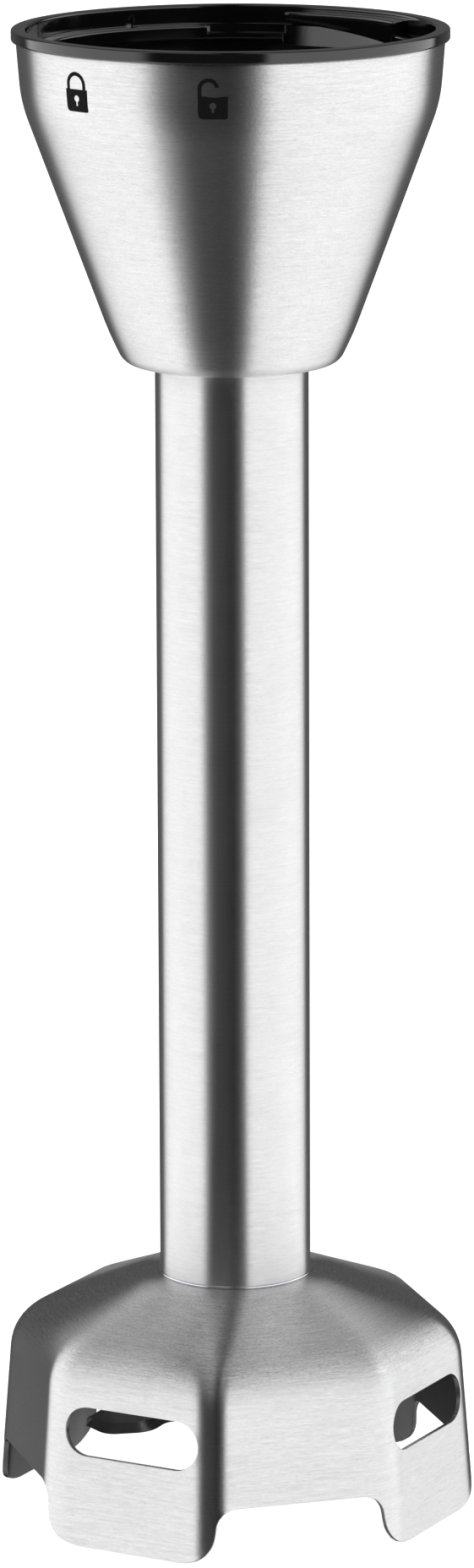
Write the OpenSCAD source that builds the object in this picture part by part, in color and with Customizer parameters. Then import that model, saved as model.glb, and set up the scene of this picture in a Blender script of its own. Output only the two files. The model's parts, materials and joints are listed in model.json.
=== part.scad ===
// Blending shaft of a hand blender: steel cup with a bayonet collar, steel tube,
// octagonal blade guard, and the drive shaft that turns inside them.
// Millimetres, +Z up. The origin is under the shaft's axis, on the plane of the guard's feet.

/* [Whole shaft] */
// Height of the tube's seat on the guard above the feet
bell_h = 39; // [34:0.5:48]
// Length of bare tube between the guard and the cup
stick_len = 152.75; // [120:0.25:190]
// Height of the steel cup
cup_h = 52.55; // [46:0.05:64]

/* [Tube] */
// Outer diameter of the tube
tube_d = 25; // [20.5:0.1:30]
// Wall of the tube
tube_wall = 0.8; // [0.6:0.1:1]
// Chamfer round the tube's lower edge
tube_chamfer = 0.4; // [0.2:0.1:0.6]
// Length of tube that stands up inside the cup
tube_grip = 14.25; // [10:0.25:16]

/* [Steel cup] */
// Outer diameter of the cup at its top edge
cup_d = 69.14; // [57.6:0.02:83]
// How far the bend lies below the top edge
cup_bend_drop = 9.8; // [7:0.1:12]
// How far the wall leans in between the top edge and the bend
cup_bend_in = 0.77; // [0.4:0.01:1.5]
// Radius of the bend
cup_bend_r = 23; // [10:1:30]
// How far the foot of the cone stands out from the tube
cup_foot_out = 4.9; // [4:0.1:6]
// Height of the foot's rounded part
cup_foot_h = 5.15; // [4:0.05:6]
// How far the cone widens over the rounded part
cup_foot_flare = 2.5; // [2:0.1:3]
// Sheet thickness of the cup
cup_sheet = 0.6; // [0.5:0.1:0.8]

/* [Bayonet collar] */
// How far the flange reaches over the cup's edge
rim_out = 0.79; // [0.5:0.01:1.5]
// Height of that flange
rim_h = 1.9; // [1.5:0.1:3]
// Thickness of the register wall at the mouth
register_wall = 0.8; // [0.7:0.1:1]
// Depth of the register below the flange's top
register_h = 3.1; // [2.6:0.1:4]
// How far the ledge stands in from the register
ledge_in = 2.7; // [2:0.1:3.5]
// Thickness of the ledge
ledge_h = 2.2; // [1.5:0.1:3]
// Wall of the collar below the ledge
collar_wall = 2.2; // [1.8:0.1:2.6]
// Depth of the collar's floor below the flange's top
collar_depth = 24.2; // [20:0.1:27]
// Thickness of the collar's floor
collar_floor = 2.4; // [2:0.1:3]
// Number of bayonet places
lock_count = 2; // [2:1:4]
// Width of an entry slot, degrees
slot_turn = 24; // [18:1:28]
// Length of a locking block, degrees
block_turn = 44; // [38:1:50]
// Drop of a locking block's helical underside
block_drop = 2.6; // [1.5:0.1:3]

/* [Blade guard] */
// Width of the guard over two opposite legs, at the feet
bell_w = 74.8; // [62:0.1:90]
// How far the wall leans in up to the shoulder
bell_lean = 2.3; // [1:0.1:4]
// How far the shoulder's sharp corner lies below the tube's seat
bell_drop = 8; // [6:0.1:10]
// Radius of the shoulder
bell_shoulder_r = 9; // [5:0.5:10]
// Radius of the upright corners
bell_corner_r = 8; // [4:0.5:10]
// Sheet thickness of the guard
bell_sheet = 0.9; // [0.7:0.1:1.2]
// Height of the side slots
slot_h = 8.1; // [6:0.1:10]
// Height of the slots' middle above the feet
slot_z = 19.35; // [17:0.05:22]
// Metal left beside a slot on its face
slot_margin = 3.25; // [3:0.05:5]
// Height of the windows between the legs
window_h = 9.4; // [7:0.1:11]

/* [Drive] */
// Diameter of the drive shaft
shaft_d = 6; // [5:0.1:7.2]
// Outer diameter of the ball bearing
bearing_d = 19; // [18.5:0.1:19.5]
// Width of the ball bearing
bearing_w = 6; // [5.5:0.1:7]
// Diameter of the balls
ball_d = 3.5; // [3.2:0.05:3.6]
// Number of balls
ball_count = 7; // [6:1:8]
// Radial running clearance of the plain bearings
running = 0.04; // [0.02:0.01:0.08]

/* [Blade] */
// Diameter swept by the blade
blade_d = 50.4; // [42:0.1:54]
// Thickness of the blade
blade_t = 1.2; // [1:0.1:1.6]
// Height of the blade's underside at the hub
blade_z = 13.5; // [12:0.1:16]
// Pitch of the wings, degrees
blade_pitch = 7; // [0:1:12]

/* [Hidden] */
$fn = 96;

// Gap between two still pieces that slide together on assembly
slip = 0.05;
// Gap between a moulded piece and the sheet around it
mould_gap = 0.2;
// Overshoot of a cutting solid
over = 1;
// Thickness of the slices that are hulled into the guard
slice = 0.01;

// Heights
cup_z = bell_h + stick_len;
rim_z = cup_z + cup_h;
top_z = rim_z + rim_h;
collar_top = top_z - collar_depth;
collar_z = collar_top - collar_floor;
ledge_z = top_z - register_h;

// Tube
tube_r = tube_d / 2;
tube_in = tube_r - tube_wall;
tube_top = cup_z + tube_grip;

// Cup
cup_r = cup_d / 2;
bend = [cup_r - cup_bend_in, rim_z - cup_bend_drop];
foot = [tube_r + cup_foot_out, cup_z];
knee = [foot[0] + cup_foot_flare, cup_z + cup_foot_h];
foot_r = 3.2;
knee_r = 45;
cone_slope = (bend[0] - knee[0]) / (bend[1] - knee[1]);
flange_sheet = 1.6;
flange_out = 2.4;

// Collar
rim_r = cup_r + rim_out;
rim_round = 0.35;
floor_round = 2;
register_r = cup_r - cup_sheet - mould_gap - register_wall;
ledge_r = register_r - ledge_in;
ledge_chamfer = 0.8;
ledge_undercut = 0.2;
block_low = 0.8;
block_top = top_z - block_low;
block_start = 0.5;
block_h = 1.5;
// How far a block stands proud of the ledge, and how far it is sunk in the register wall
block_proud = 0.3;
// Depth of an entry slot below the ledge's top, and the step left at the foot of the register wall
slot_deep = 1.3;
slot_step = 0.1;
// How far the ledge is cut away for the lugs under a block
lug_room = 0.9;
// Direction of the first entry slot's middle, degrees from +X
entry_dir = -66.4;
notch_from = 22;
notch_turn = 2;
notch_deep = 0.4;
screw_count = 3;
screw_r = 1.5;
screw_len = 12;
screw_head_r = 2.8;
screw_head_h = 1.8;
screw_hole_r = 1.7;
recess_w = 0.8;
recess_len = 1.2 * screw_head_r;
recess_deep = 1;

// Upper bearing
shaft_r = shaft_d / 2;
bearing_r = bearing_d / 2;
ball_r = ball_d / 2;
pitch_r = (shaft_r + bearing_r) / 2;
land = 0.55 * ball_r;
groove_play = 0.03;
shield_t = 0.5;
shield_r = bearing_r - 1.4;
shield_gap = 0.25;
cage_t = 1.2;
cage_low = 0.2;
cage_h = 2;
clip_t = 1;
shaft_clip_t = 0.7;
clip_groove = 0.4;
clip_w = 1.2;
clip_gap = 1.2;
spring_h = 0.8;
spring_t = 0.4;
seal_h = 2;
// A seal's lip, its outer wall, the taper of the recess between them, and the share of its height
lip_t = 1;
seal_wall = 2;
seal_taper = 0.45;
seal_deep = 0.6;
bearing_top = collar_z - seal_h - clip_t;
bearing_z = bearing_top - bearing_w;
bearing_mid = bearing_z + bearing_w / 2;

// Hub
hub_z = cup_z + cup_sheet + flange_sheet;
hub_plate = 3;
hub_boss_r = max(tube_r, bearing_r) + 2.2;
rib_count = 6;
rib_t = 1.6;
rib_foot = 3;
o_ring_r = 0.75;
collar_ring_r = hub_boss_r - 1.4 * o_ring_r;
seat_step = 2;
screw_pcr = (hub_boss_r + cone_r(collar_z - screw_len, cup_sheet + mould_gap)) / 2;
post_r = 3.3;

// Coupling
coupling_gap = 0.6;
coupling_r = 7.2;
coupling_h = 13.8;
coupling_lip = 1;
coupling_lip_in = 0.8;
coupling_z = collar_z + coupling_gap;
shaft_grip = 7.8;
shaft_top = coupling_z + shaft_grip;
pin_r = 1.25;
pin_inset = 0.5;
pin_z = coupling_z + 3.6;
star_r = 4.6;
star_w = 2.6;
star_core_r = star_r - 0.8;
flute_r = 1.5;
flute_pcr = coupling_r + 0.5;
flute_z = shaft_top - 1;
coupling_hole_r = coupling_r + 1;

// Lower bearing
spigot_h = 7;
spigot_out = tube_in - slip;
spigot_in = spigot_out - bell_sheet;
housing_r = spigot_in - slip;
flange_t = 2.1;
flange_r = tube_r + 0.1;
housing_top = bell_h + spigot_h + 4;
nut_h = 3;
nut_slot_w = 2;
nut_slot_deep = 0.8;
neck_r = 8.6;
bush_r = 5.5;
bush_len = 14;
bush_top = housing_top - 1.5;
seal_r = 7.2;
seal_len = 3.5;
boss_r = 9;
boss_z = bush_top - bush_len - seal_len;
cap_t = 0.6;
housing_gap = 1;
cap_gap = 1.2;
lip_r = shaft_r + running;

// Mid guide
guide_h = 10;
guide_z = bell_h + stick_len / 2;
guide_hole_r = 2;
guide_hole_pcr = (tube_in + shaft_r) / 2 + 0.4;

// Guard
bell_a = bell_w / 2;
shoulder_a = bell_a - bell_lean;
crown_out = 3.5;
crown_round = 6;
neck_out = 0.6;
face_half = bell_a * tan(22.5);
window_lean = 1.5;
window_round = 3.5;
leg_round = 6;
leg_inset = 0.2;

// Blade group, from the blade down and up
slinger_t = 1;
slinger_r = 8;
slinger_hub_h = 1.8;
slinger_z = boss_z - cap_t - 2.2;
spacer_r = 5.5;
slinger_hub_r = spacer_r - 1;
spacer_foot_r = spacer_r + 1.5;
spacer_foot_h = 1.2;
blade_top = blade_z + blade_t;
blade_hub_r = 7.5;
hub_clear = 2;
washer_t = 0.8;
washer_r = 5.2;
nut_z = blade_z - washer_t;
nut_flat_r = 5.6;
hex_h = 3.4;
dome_r = 4.8;
dome_rise = 2.6;
nut_hole_room = 0.2;
thread_len = 3.6;
shaft_z = nut_z - thread_len;
// Direction of the first wing, degrees from +X
wing_dir = 208.3;

steel = "gainsboro";
dark_steel = "darkgray";
moulded = "#202022";
rubbery = "#303030";

// ---- Helpers -------------------------------------------------------------

function unit(v) = v / norm(v);
function left_of(v) = [-v[1], v[0]];

// The path moved to the left of its own direction by t
function shifted(p, t) = [
    for (i = [0 : len(p) - 1])
        let (j = max(i, 1), k = min(i + 1, len(p) - 1))
        let (a = unit(p[j] - p[j - 1]), b = unit(p[k] - p[k - 1]))
        p[i] + t * (left_of(a) + left_of(b)) / (1 + a * b)
];

// The path with its corners rounded by the radii r
function rounded(p, r, step = 6) = [
    for (i = [0 : len(p) - 1])
        each (i == 0 || i == len(p) - 1 || r[i] <= 0) ? [p[i]] : corner(p[i - 1], p[i], p[i + 1], r[i], step)
];

function corner(before, at, after, r, step) =
    let (a = unit(before - at), b = unit(after - at))
    let (half = acos(a * b) / 2, turn = 180 - 2 * half)
    let (middle = at + unit(a + b) * r / sin(half))
    let (first = at + a * r / tan(half) - middle)
    let (way = sign(cross(first, at + b * r / tan(half) - middle)), n = max(1, ceil(turn / step)))
    let (start = atan2(first[1], first[0]))
    [for (k = [0 : n]) middle + r * [cos(start + way * turn * k / n), sin(start + way * turn * k / n)]];

// Radius of the cup's cone at height z, measured inset inside its outer face
function cone_r(z, inset) =
    knee[0] + (z - knee[1]) * cone_slope - inset * sqrt(1 + cone_slope * cone_slope);

module ring(r_in, r_out, z0, z1) {
    rotate_extrude() translate([r_in, z0]) square([r_out - r_in, z1 - z0]);
}

module o_ring(r_mid, z_mid) {
    rotate_extrude() translate([r_mid, z_mid]) circle(o_ring_r, $fn = 32);
}

module bore(r, z0, z1) {
    translate([0, 0, z0]) cylinder(r = r, h = z1 - z0);
}

module around(n, start = 0) {
    for (i = [0 : n - 1]) rotate(start + i * 360 / n) children();
}

// ---- Steel cup and its collar -----------------------------------------------

cup_line = [[tube_r, cup_z], foot, knee, bend, [cup_r, rim_z]];
cup_radii = [0, foot_r, knee_r, cup_bend_r, 0];

module cup_shell() {
    outer = rounded(cup_line, cup_radii);
    inner_sharp = shifted(cup_line, cup_sheet);
    inner_radii = [0, foot_r - cup_sheet, knee_r - cup_sheet, cup_bend_r - cup_sheet, 0];
    top = [inner_sharp[4][0], rim_z];
    inner = rounded([for (i = [0 : 3]) inner_sharp[i], top], inner_radii);
    color(steel)
        rotate_extrude($fn = 180)
            polygon([each outer, for (i = [len(inner) - 1 : -1 : 0]) inner[i]]);
}

// Solid of revolution of the collar, before its slots and blocks
module collar_body() {
    gap = cup_sheet + mould_gap;
    out_bend = shifted(cup_line, gap)[3];
    in_bend = shifted(cup_line, gap + collar_wall)[3];
    out_line = [[cone_r(collar_z, gap), collar_z], out_bend, [cup_r - gap, rim_z], [rim_r, rim_z]];
    rim_line = [[rim_r, top_z], [register_r, top_z], [register_r, ledge_z], [ledge_r, ledge_z]];
    in_line = [[ledge_r, ledge_z - ledge_h],
               [in_bend[0] + ledge_undercut, ledge_z - ledge_h - ledge_chamfer], in_bend,
               [cone_r(collar_top, gap + collar_wall), collar_top]];
    line = [[coupling_hole_r, collar_z], each out_line, each rim_line, each in_line,
            [coupling_hole_r, collar_top]];
    radii = [0, 0, cup_bend_r, 0, rim_round, rim_round, rim_round, 0, rim_round, 0, 0,
             cup_bend_r / 2, floor_round, 0];
    rotate_extrude($fn = 180) polygon(rounded(line, radii));
}

// Sector of a ring between two directions
module sector(r_in, r_out, z0, z1, from, turn) {
    rotate(from) rotate_extrude(angle = turn) translate([r_in, z0]) square([r_out - r_in, z1 - z0]);
}

// Locking block: flat on top, with an underside that falls clockwise
module lock_block() {
    steps = 12;
    r_in = ledge_r - block_proud;
    r_out = register_r + block_proud;
    under = block_top - block_h;
    angles = [for (k = [0 : steps]) -block_turn * k / steps];
    points = [for (k = [0 : steps]) each [
        for (q = [[r_in, block_top], [r_out, block_top], [r_out, under - block_drop * k / steps],
                  [r_in, under - block_drop * k / steps]])
            [q[0] * cos(angles[k]), q[0] * sin(angles[k]), q[1]]]];
    sides = [for (k = [0 : steps - 1], j = [0 : 3])
        [4 * k + j, 4 * k + (j + 1) % 4, 4 * k + 4 + (j + 1) % 4, 4 * k + 4 + j]];
    polyhedron(points, [[3, 2, 1, 0], each sides, [for (j = [0 : 3]) 4 * steps + j]]);
}

module bayonet_collar() {
    lug_path_r = ledge_r + lug_room;
    color(moulded) {
        difference() {
            collar_body();
            around(lock_count, entry_dir) {
                sector(ledge_r - over, register_r - slot_step, ledge_z - slot_deep, ledge_z + over,
                       -slot_turn / 2, slot_turn);
                sector(ledge_r - over, lug_path_r, ledge_z - ledge_h - over, ledge_z + over,
                       -slot_turn / 2 - block_turn, block_turn + block_start);
                sector(register_r - over, register_r + notch_deep, ledge_z - notch_deep, block_top,
                       slot_turn / 2 + notch_from, notch_turn);
            }
            around(screw_count, 90) translate([screw_pcr, 0, 0])
                bore(screw_hole_r, collar_z - over, collar_top + over);
        }
        around(lock_count, entry_dir - slot_turn / 2 - block_start) lock_block();
    }
}

module collar_screws() {
    color(dark_steel) around(screw_count, 90) translate([screw_pcr, 0, 0]) difference() {
        union() {
            bore(screw_r, collar_top - screw_len, collar_top);
            bore(screw_head_r, collar_top, collar_top + screw_head_h);
        }
        for (a = [0, 90]) rotate(a)
            translate([-recess_len / 2, -recess_w / 2, collar_top + screw_head_h - recess_deep])
                cube([recess_len, recess_w, recess_deep + over]);
    }
}

module collar_o_ring() {
    color(rubbery) o_ring(collar_ring_r, collar_z - o_ring_r);
}

// ---- Hub inside the cup -----------------------------------------------------

module mounting_hub() {
    gap = cup_sheet + mould_gap;
    plate_z = collar_z - hub_plate;
    seat_z = bearing_z - spring_h;
    rib_z = knee[1] + rib_foot;
    color("dimgray") difference() {
        union() {
            bore(hub_boss_r, hub_z, collar_z);
            rotate_extrude() polygon([[0, plate_z], [cone_r(plate_z, gap), plate_z],
                                      [cone_r(collar_z, gap), collar_z], [0, collar_z]]);
            around(rib_count, 60) rotate([90, 0, 0]) translate([0, 0, -rib_t / 2])
                linear_extrude(rib_t)
                    polygon([[tube_r + over, rib_z], [cone_r(rib_z, gap), rib_z],
                             [cone_r(plate_z + over, gap), plate_z + over],
                             [tube_r + over, plate_z + over]]);
            around(screw_count, 90) translate([screw_pcr, 0, 0])
                bore(post_r, collar_z - screw_len - over, collar_z);
        }
        bore(tube_r + slip, hub_z - over, tube_top);
        bore(tube_r + 2 * o_ring_r, hub_z - over, hub_z + 2 * o_ring_r);
        bore(bearing_r - seat_step, tube_top - over, seat_z + over);
        bore(bearing_r, seat_z, collar_z + over);
        bore(bearing_r + clip_groove, bearing_top, bearing_top + clip_t);
        ring(collar_ring_r - o_ring_r, collar_ring_r + o_ring_r, collar_z - 2 * o_ring_r, collar_z + over);
        around(screw_count, 90) translate([screw_pcr, 0, 0])
            bore(screw_r, collar_z - screw_len, collar_z + over);
    }
}

// Recess between a seal's lip and its outer wall, narrower at its floor
module seal_recess(r_in, r_out, z_open, z_floor) {
    rotate_extrude() polygon([[r_in, z_open], [r_out, z_open], [r_out - seal_taper, z_floor],
                              [r_in + seal_taper, z_floor]]);
}

module upper_seal() {
    color(rubbery) difference() {
        bore(bearing_r - slip, collar_z - seal_h, collar_z);
        bore(lip_r, collar_z - seal_h - over, collar_z + over);
        seal_recess(shaft_r + lip_t, bearing_r - seal_wall, collar_z + over, collar_z - seal_deep * seal_h);
    }
}

// A snap ring: flat, and open over a small gap
module snap_ring(r_in, r_out, z, t) {
    difference() {
        ring(r_in, r_out, z, z + t);
        translate([0, -clip_gap / 2, z - over]) cube([r_out + over, clip_gap, t + 2 * over]);
    }
}

module bearing_circlip() {
    color(dark_steel) snap_ring(bearing_r - clip_w, bearing_r + clip_groove, bearing_top, clip_t);
}

module preload_spring() {
    seat_z = bearing_z - spring_h;
    color(dark_steel) rotate_extrude()
        polygon([[bearing_r - seat_step, seat_z], [bearing_r - slip, bearing_z - spring_t],
                 [bearing_r - slip, bearing_z], [bearing_r - seat_step, seat_z + spring_t]]);
}

// ---- Ball bearing -------------------------------------------------------------

module ball_groove() {
    rotate_extrude() translate([pitch_r, bearing_mid]) circle(ball_r + groove_play, $fn = 48);
}

module bearing_outer_race() {
    color(steel) difference() {
        ring(pitch_r + land, bearing_r, bearing_z, bearing_top);
        ball_groove();
        for (z = [bearing_z - over, bearing_top - shield_t])
            ring(pitch_r, shield_r, z, z + shield_t + over);
    }
}

module bearing_inner_race() {
    color(steel) difference() {
        ring(shaft_r, pitch_r - land, bearing_z, bearing_top);
        ball_groove();
    }
}

module bearing_shields() {
    color(dark_steel) for (z = [bearing_z, bearing_top - shield_t])
        ring(pitch_r - land + shield_gap, shield_r, z, z + shield_t);
}

module bearing_balls() {
    color("silver") around(ball_count) translate([pitch_r, 0, bearing_mid]) sphere(ball_r);
}

module bearing_cage() {
    cage_z = bearing_mid + cage_low;
    color("tan") difference() {
        ring(pitch_r - cage_t / 2, pitch_r + cage_t / 2, cage_z, cage_z + cage_h);
        around(ball_count) translate([pitch_r, 0, bearing_mid]) sphere(ball_r + groove_play);
    }
}

// ---- Tube ---------------------------------------------------------------------

module shaft_tube() {
    color(steel) rotate_extrude($fn = 180)
        polygon([[tube_in, bell_h], [tube_r - tube_chamfer, bell_h], [tube_r, bell_h + tube_chamfer],
                 [tube_r, tube_top], [tube_in, tube_top]]);
}

module tube_flange() {
    floor_z = cup_z + cup_sheet;
    color(dark_steel) ring(tube_r, tube_r + flange_out, floor_z, floor_z + flange_sheet);
}

module tube_o_ring() {
    color(rubbery) o_ring(tube_r + o_ring_r, hub_z + o_ring_r);
}

module mid_guide() {
    color("ivory") difference() {
        bore(tube_in, guide_z, guide_z + guide_h);
        bore(lip_r, guide_z - over, guide_z + guide_h + over);
        around(4, 45) translate([guide_hole_pcr, 0, 0])
            bore(guide_hole_r, guide_z - over, guide_z + guide_h + over);
    }
}

// ---- Blade guard ----------------------------------------------------------------

// Outline of a rounded octagon with half-width a and corner radius r
function octagon(a, r) = [
    for (f = [0 : 7], k = [0 : 4])
        let (t = 45 * f + 45 * k / 4, m = 45 * f + 22.5)
        (a - r) / cos(22.5) * [cos(m), sin(m)] + r * [cos(t), sin(t)]
];

// Corner radius where the half-width is a: the octagon turns into a circle at the neck
function bell_corner(a, wide, narrow) =
    let (t = max(0, min(1, (wide - a) / (wide - narrow))))
    bell_corner_r + (a - bell_corner_r) * pow(t, 2.5);

// Solid inside the guard's face, inset inside it, from height z0
module bell_solid(inset, z0) {
    neck = tube_r + neck_out;
    lean = bell_lean / (bell_h - bell_drop);
    sharp = [[bell_a - lean * z0, z0], [shoulder_a, bell_h - bell_drop], [tube_r + crown_out, bell_h],
             [neck, bell_h]];
    line = rounded(shifted(sharp, inset), [0, bell_shoulder_r - inset, crown_round, 0], 9);
    hull() for (p = line)
        translate([0, 0, max(z0, p[1] - slice)]) linear_extrude(slice)
            polygon(octagon(p[0], bell_corner(p[0], shoulder_a, neck)));
}

// Window between two legs, with the legs' rounded feet at its sides
module window_cut() {
    side = face_half - leg_inset;
    top = side - window_lean;
    far = side + 2 * leg_round;
    line = [[far, -over], [far, 0], [side, 0], [top, window_h], [-top, window_h], [-side, 0], [-far, 0],
            [-far, -over]];
    radii = [0, 0, leg_round, window_round, window_round, leg_round, 0, 0];
    translate([bell_a / 2, 0, 0]) rotate([90, 0, 90]) linear_extrude(bell_a) polygon(rounded(line, radii, 9));
}

module slot_cut() {
    half = face_half - slot_margin - slot_h / 2;
    translate([bell_a / 2, 0, slot_z]) {
        translate([0, -half, -slot_h / 2]) cube([bell_a, 2 * half, slot_h]);
        for (y = [-half, half]) translate([0, y, 0]) rotate([0, 90, 0]) cylinder(d = slot_h, h = bell_a);
    }
}

module bell_guard() {
    color(steel) difference() {
        union() {
            bell_solid(0, 0);
            bore(spigot_out, bell_h - bell_sheet / 2, bell_h + spigot_h);
        }
        bell_solid(bell_sheet, -over);
        bore(spigot_in, bell_h - 2 * bell_sheet, bell_h + spigot_h + over);
        around(4) slot_cut();
        around(4, 45) window_cut();
    }
}

// ---- Lower bearing ----------------------------------------------------------------

module lower_housing() {
    flange_top = bell_h - bell_sheet;
    color("lightgray") difference() {
        union() {
            bore(boss_r, boss_z, flange_top);
            bore(flange_r, flange_top - flange_t, flange_top);
            bore(housing_r, flange_top - slip, bell_h + spigot_h);
            bore(neck_r, bell_h, housing_top);
        }
        bore(bush_r, boss_z - over, bush_top);
        bore(seal_r, boss_z - over, boss_z + seal_len);
        bore(shaft_r + housing_gap, boss_z, housing_top + over);
    }
}

module housing_nut() {
    z = bell_h + spigot_h;
    color(dark_steel) difference() {
        bore(spigot_out - slip, z, z + nut_h);
        bore(neck_r, z - over, z + nut_h + over);
        around(4) translate([spigot_out, 0, z + nut_h / 2])
            cube([2 * nut_slot_deep, nut_slot_w, nut_h + over], center = true);
    }
}

module lower_bush() {
    color("peru") ring(lip_r, bush_r, bush_top - bush_len, bush_top);
}

module shaft_seal() {
    color(rubbery) difference() {
        ring(lip_r, seal_r, boss_z, boss_z + seal_len);
        seal_recess(shaft_r + lip_t, seal_r - lip_t, boss_z - over, boss_z + seal_deep * seal_len);
    }
}

module seal_cap() {
    color(steel) difference() {
        bore(boss_r + cap_t, boss_z - cap_t, boss_z + seal_len);
        bore(boss_r, boss_z, boss_z + seal_len + over);
        bore(shaft_r + cap_gap, boss_z - cap_t - over, boss_z + over);
    }
}

// ---- Rotor ------------------------------------------------------------------------

shaft_clips = [bearing_z - shaft_clip_t, bearing_top];

module drive_shaft() {
    color("silver") difference() {
        bore(shaft_r, shaft_z, shaft_top);
        for (z = shaft_clips) ring(shaft_r - clip_groove, shaft_r + over, z, z + shaft_clip_t);
        translate([0, 0, pin_z]) rotate([0, 90, 0]) cylinder(r = pin_r, h = 4 * shaft_r, center = true);
    }
}

module shaft_circlips() {
    color(dark_steel) for (z = shaft_clips)
        snap_ring(shaft_r - clip_groove, shaft_r + clip_w, z, shaft_clip_t);
}

module drive_coupling() {
    color("whitesmoke") difference() {
        union() {
            bore(coupling_r, coupling_z, coupling_z + coupling_h - coupling_lip);
            bore(coupling_r - coupling_lip_in, coupling_z, coupling_z + coupling_h);
        }
        bore(shaft_r, coupling_z - over, shaft_top);
        bore(star_core_r, shaft_top, coupling_z + coupling_h + over);
        around(3) translate([-star_r, -star_w / 2, shaft_top]) cube([2 * star_r, star_w, coupling_h]);
        around(6, 30) translate([flute_pcr, 0, 0]) bore(flute_r, flute_z, coupling_z + coupling_h + over);
        translate([0, 0, pin_z]) rotate([0, 90, 0])
            cylinder(r = pin_r, h = 3 * coupling_r, center = true);
    }
}

module coupling_pin() {
    color(dark_steel) translate([0, 0, pin_z]) rotate([0, 90, 0])
        cylinder(r = pin_r, h = 2 * (coupling_r - pin_inset), center = true);
}

module slinger() {
    color(rubbery) union() {
        ring(shaft_r, slinger_r, slinger_z, slinger_z + slinger_t);
        ring(shaft_r, slinger_hub_r, slinger_z, slinger_z + slinger_hub_h);
    }
}

module blade_spacer() {
    shoulder = blade_top + spacer_foot_h;
    color(steel) rotate_extrude()
        polygon([[shaft_r, blade_top], [spacer_foot_r, blade_top], [spacer_foot_r, shoulder],
                 [spacer_r, shoulder + spacer_foot_r - spacer_r], [spacer_r, slinger_z],
                 [shaft_r, slinger_z]]);
}

// One wing, drawn along +X with its cutting edge towards +Y
module wing() {
    r = blade_d / 2;
    outline = [[0, -6.3], [0.77 * r, -5.2], [r, 3.6], [0.86 * r, 7.6], [0.56 * r, 6.6], [0.42 * r, 1],
               [0.2 * r, 4.6], [0, 4.6]];
    linear_extrude(blade_t) polygon(rounded(outline, [0, 3, 0.6, 3.5, 5, 3, 0, 0]));
}

module blade() {
    color("silver") difference() {
        union() {
            bore(blade_hub_r, blade_z, blade_top);
            around(2, wing_dir) translate([0, 0, blade_z]) rotate([-blade_pitch, 0, 0]) wing();
        }
        bore(shaft_r, blade_z - over, blade_top + over);
        bore(blade_hub_r, blade_top, blade_top + hub_clear);
        bore(blade_hub_r, blade_z - hub_clear, blade_z);
    }
}

module blade_washer() {
    color(dark_steel) ring(shaft_r, washer_r, nut_z, blade_z);
}

module blade_nut() {
    hex_z = nut_z - hex_h;
    color(steel) difference() {
        union() {
            translate([0, 0, hex_z]) cylinder(r = nut_flat_r, h = hex_h, $fn = 6);
            intersection() {
                translate([0, 0, hex_z + dome_rise]) sphere(dome_r);
                bore(nut_flat_r, hex_z - dome_r, hex_z + over);
            }
        }
        bore(shaft_r, shaft_z - nut_hole_room, nut_z + over);
    }
}

cup_shell();
bayonet_collar();
mounting_hub();
collar_screws();
collar_o_ring();
shaft_tube();
tube_flange();
tube_o_ring();
bearing_outer_race();
bearing_shields();
bearing_circlip();
preload_spring();
upper_seal();
mid_guide();
bell_guard();
lower_housing();
housing_nut();
lower_bush();
shaft_seal();
seal_cap();
bearing_balls();
bearing_cage();
bearing_inner_race();
drive_shaft();
drive_coupling();
coupling_pin();
shaft_circlips();
slinger();
blade_spacer();
blade();
blade_washer();
blade_nut();
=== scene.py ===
# %% [markdown]
# # The blending shaft of a hand blender
# The shaft hangs below the blender's motor. A steel cup locks on to the motor with a bayonet,
# a steel tube carries the drive shaft down, and an eight-sided steel guard covers the blade.
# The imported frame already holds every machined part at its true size. This file gives each
# part its finish, and makes again the pieces whose surface is seen from close by.
# All lengths are in metres. A value that is easier to read in millimetres is written times MM.

# %% Load the frame
import json
import math

import bmesh
import bpy
from mathutils import Matrix, Vector
from mathutils.geometry import delaunay_2d_cdt
from mathutils.kdtree import KDTree


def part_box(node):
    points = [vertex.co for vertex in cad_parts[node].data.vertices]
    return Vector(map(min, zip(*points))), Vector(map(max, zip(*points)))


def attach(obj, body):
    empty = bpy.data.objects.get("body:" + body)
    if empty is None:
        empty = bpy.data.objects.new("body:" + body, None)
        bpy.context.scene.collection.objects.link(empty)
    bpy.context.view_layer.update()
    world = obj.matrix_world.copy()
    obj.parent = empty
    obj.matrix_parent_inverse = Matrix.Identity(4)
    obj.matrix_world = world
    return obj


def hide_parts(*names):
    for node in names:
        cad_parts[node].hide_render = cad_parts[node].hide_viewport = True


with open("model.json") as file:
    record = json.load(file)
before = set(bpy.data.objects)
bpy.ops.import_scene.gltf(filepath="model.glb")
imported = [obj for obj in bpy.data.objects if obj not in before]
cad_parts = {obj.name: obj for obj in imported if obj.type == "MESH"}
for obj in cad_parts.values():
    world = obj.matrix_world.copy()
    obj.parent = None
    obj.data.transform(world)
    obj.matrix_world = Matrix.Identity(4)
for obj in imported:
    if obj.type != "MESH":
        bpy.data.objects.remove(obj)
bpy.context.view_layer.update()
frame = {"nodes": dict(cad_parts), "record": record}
nodes = frame["nodes"]
MM = 0.001
scene = bpy.context.scene

# %% [markdown]
# ## The camera
# A product like this is shot with a long lens from more than a metre away, so that its upright
# lines stay nearly parallel. The camera stands a little above the cup and looks down, so the
# mouth of the cup and the roof of the guard both show. It is placed by its bearing, its distance
# and its height above the floor, and then tipped down and rolled by a trace.

# %% Camera
BEARING = math.radians(28.3)
CAMERA_DISTANCE = 1.1864
CAMERA_HEIGHT = 0.3808
CAMERA_ASIDE = 0.59 * MM
PITCH = 0.2150
ROLL = 0.0038
LENS = 169.7

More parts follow.
